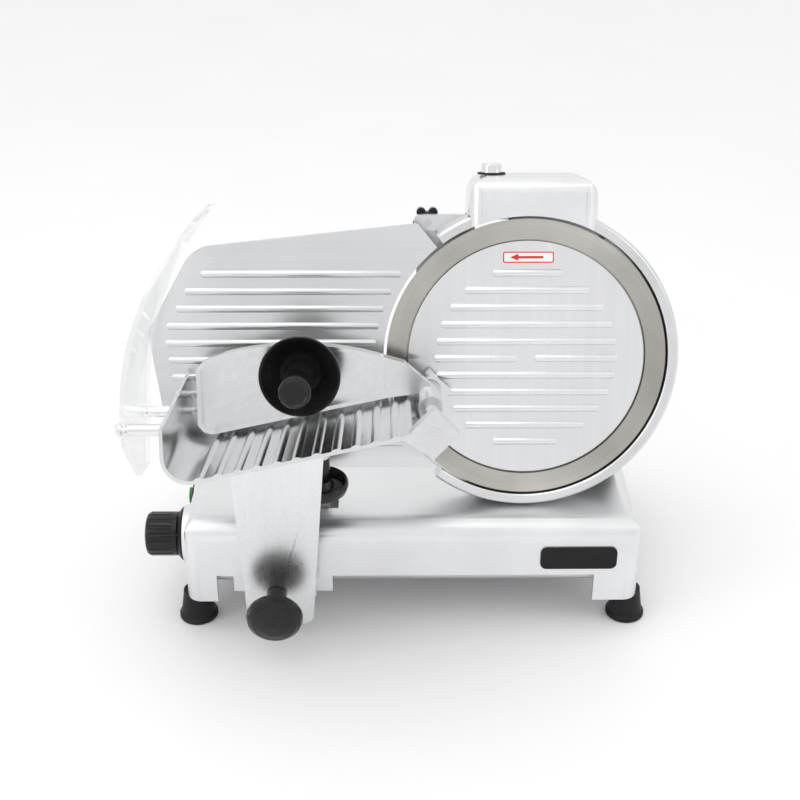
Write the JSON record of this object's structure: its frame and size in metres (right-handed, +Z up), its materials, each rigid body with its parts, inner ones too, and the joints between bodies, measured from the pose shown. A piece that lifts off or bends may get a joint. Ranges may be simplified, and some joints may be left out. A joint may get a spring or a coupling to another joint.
{
  "type": "meat slicer",
  "caption": "Gravity-feed deli meat slicer: leaning round blade with ribbed cover, gauge plate, sliding tray with swing pusher, clear shield and built-in sharpener.",
  "frame": {"origin": "middle of the footprint, on the surface the feet stand on", "axes": "+X to the operator's right, +Y away from the operator, +Z up"},
  "size_m": [0.486, 0.3633, 0.4068],
  "materials": {
    "cast_aluminium": "satin cast and polished",
    "brushed_aluminium": "brushed lengthwise",
    "polished_aluminium": "bright polished",
    "blade_steel": "ground in circles",
    "steel": "machined",
    "chrome": "polished plate",
    "black_plastic": "glossy moulded",
    "black_trim": "matte",
    "rubber_black": "matte",
    "clear_sheet": "clear polished sheet",
    "white_print": "printed",
    "red_print": "printed",
    "green_plastic": "glossy moulded",
    "red_plastic": "glossy moulded",
    "motor_paint": "satin paint",
    "stone": "gritty bonded abrasive"
  },
  "bodies": {
    "machine_frame": {"base_housing": "cast_aluminium", "feet": "rubber_black", "foot_screws": "steel", "badge_plate": "black_trim", "slide_rod": "steel", "cable_gland": "black_trim", "index_ring": "black_plastic", "index_marks": "white_print", "switch_plate": "black_trim", "gauge_guide": "steel", "gauge_rod": "steel", "ring_guard": "cast_aluminium", "column": "cast_aluminium", "pulley_case": "cast_aluminium", "case_cover": "cast_aluminium", "bearings": "steel", "drive_belt": "rubber_black", "motor_body": "motor_paint", "motor_cover": "cast_aluminium", "deflector": "brushed_aluminium", "deflector_stud": "steel", "blade_cover": "cast_aluminium", "cover_label": "white_print", "label_arrow": "red_print"},
    "thickness_dial": {"thickness_knob": "black_plastic", "dial_shaft": "steel"},
    "gauge": {"gauge_plate": "brushed_aluminium", "gauge_bracket": "cast_aluminium"},
    "blade_rotor": {"blade": "blade_steel", "blade_shaft": "steel", "blade_pulley": "steel"},
    "motor_rotor": {"motor_shaft": "steel", "motor_pulley": "steel"},
    "cover_release": {"tie_rod": "steel", "release_knob": "black_plastic"},
    "deflector_knob": {"star_knob": "black_plastic"},
    "sharpener": {"sharpener_shell": "polished_aluminium", "stones": "stone", "button_seal": "rubber_black"},
    "sharpen_push": {"sharpen_button": "chrome"},
    "deburr_push": {"deburr_button": "chrome"},
    "carriage_slide_block": {"carriage_block": "cast_aluminium", "carriage_tab": "cast_aluminium", "lock_stud": "steel"},
    "carriage_lock": {"lock_knob": "black_plastic"},
    "carriage": {"carriage_arm": "brushed_aluminium", "tray_stud": "steel", "tray": "polished_aluminium", "pusher_pin": "chrome", "shield": "clear_sheet", "shield_studs": "chrome"},
    "tray_clamp": {"tray_knob": "black_plastic"},
    "pusher_bush": {"pusher_sleeve": "steel"},
    "pusher": {"pusher_plate": "polished_aluminium", "pusher_spikes": "steel", "handle": "black_plastic", "handle_bolt": "steel"},
    "start_push": {"start_button": "green_plastic"},
    "stop_push": {"stop_button": "red_plastic"}
  },
  "joints": [
    {"name": "carriage_travel", "type": "slide", "parent": "machine_frame", "child": "carriage_slide_block", "axis": [1, 0, 0], "range_m": [0, 0.235]},
    {"name": "carriage_liftoff", "type": "slide", "parent": "carriage_slide_block", "child": "carriage", "axis": [0, -0.1219, 0.9925], "range_m": [0, 0.08]},
    {"name": "carriage_lock_turn", "type": "hinge", "parent": "carriage_slide_block", "child": "carriage_lock", "pos_m": [-0.1187, -0.12782, 0.05506], "axis": [0, -0.9925, -0.1219], "continuous": true},
    {"name": "tray_clamp_turn", "type": "hinge", "parent": "carriage", "child": "tray_clamp", "pos_m": [-0.0777, -0.07942, 0.17], "axis": [0, 0, 1], "continuous": true},
    {"name": "pusher_slide", "type": "slide", "parent": "carriage", "child": "pusher_bush", "axis": [0, -0.9659, 0.2588], "range_m": [0, 0.066]},
    {"name": "pusher_swing", "type": "hinge", "parent": "pusher_bush", "child": "pusher", "pos_m": [0.0193, -0.0592, 0.2327], "axis": [0, 0.9659, -0.2588], "range_deg": [0, 95]},
    {"name": "gauge_set", "type": "slide", "parent": "machine_frame", "child": "gauge", "axis": [0, 0.9659, -0.2588], "range_m": [0, 0.012]},
    {"name": "thickness_turn", "type": "hinge", "parent": "machine_frame", "child": "thickness_dial", "pos_m": [-0.2257, -0.04642, 0.084], "axis": [-1, 0, 0], "range_deg": [0, 300]},
    {"name": "blade_spin", "type": "hinge", "parent": "machine_frame", "child": "blade_rotor", "pos_m": [0.106, -0.00376, 0.24641], "axis": [0, -0.9659, 0.2588], "continuous": true},
    {"name": "motor_spin", "type": "hinge", "parent": "machine_frame", "child": "motor_rotor", "pos_m": [0.154, 0.01883, 0.17617], "axis": [0, -0.9659, 0.2588], "continuous": true},
    {"name": "cover_release_turn", "type": "hinge", "parent": "machine_frame", "child": "cover_release", "pos_m": [0.106, 0.0542, 0.23089], "axis": [0, -0.9659, 0.2588], "continuous": true},
    {"name": "deflector_knob_turn", "type": "hinge", "parent": "machine_frame", "child": "deflector_knob", "pos_m": [0.0183, 0.05988, 0.35256], "axis": [0, -0.9659, 0.2588], "continuous": true},
    {"name": "sharpener_lift", "type": "slide", "parent": "machine_frame", "child": "sharpener", "axis": [0, 0.2588, 0.9659], "range_m": [0, 0.05]},
    {"name": "sharpen_press", "type": "slide", "parent": "sharpener", "child": "sharpen_push", "axis": [0, -0.2588, -0.9659], "range_m": [0, 0.005], "stiffness_N_per_m": 600, "springref_m": -0.002},
    {"name": "deburr_press", "type": "slide", "parent": "sharpener", "child": "deburr_push", "axis": [0, -0.9659, 0.2588], "range_m": [0, 0.004], "stiffness_N_per_m": 600, "springref_m": -0.002},
    {"name": "start_press", "type": "slide", "parent": "machine_frame", "child": "start_push", "axis": [1, 0, 0], "range_m": [0, 0.003], "stiffness_N_per_m": 600, "springref_m": -0.002},
    {"name": "stop_press", "type": "slide", "parent": "machine_frame", "child": "stop_push", "axis": [1, 0, 0], "range_m": [0, 0.003], "stiffness_N_per_m": 600, "springref_m": -0.002}
  ],
  "couplings": [
    {"joint": "thickness_turn", "follows": "gauge_set", "rad_per_m": 436},
    {"joint": "motor_spin", "follows": "blade_spin", "ratio": 3.9286}
  ]
}
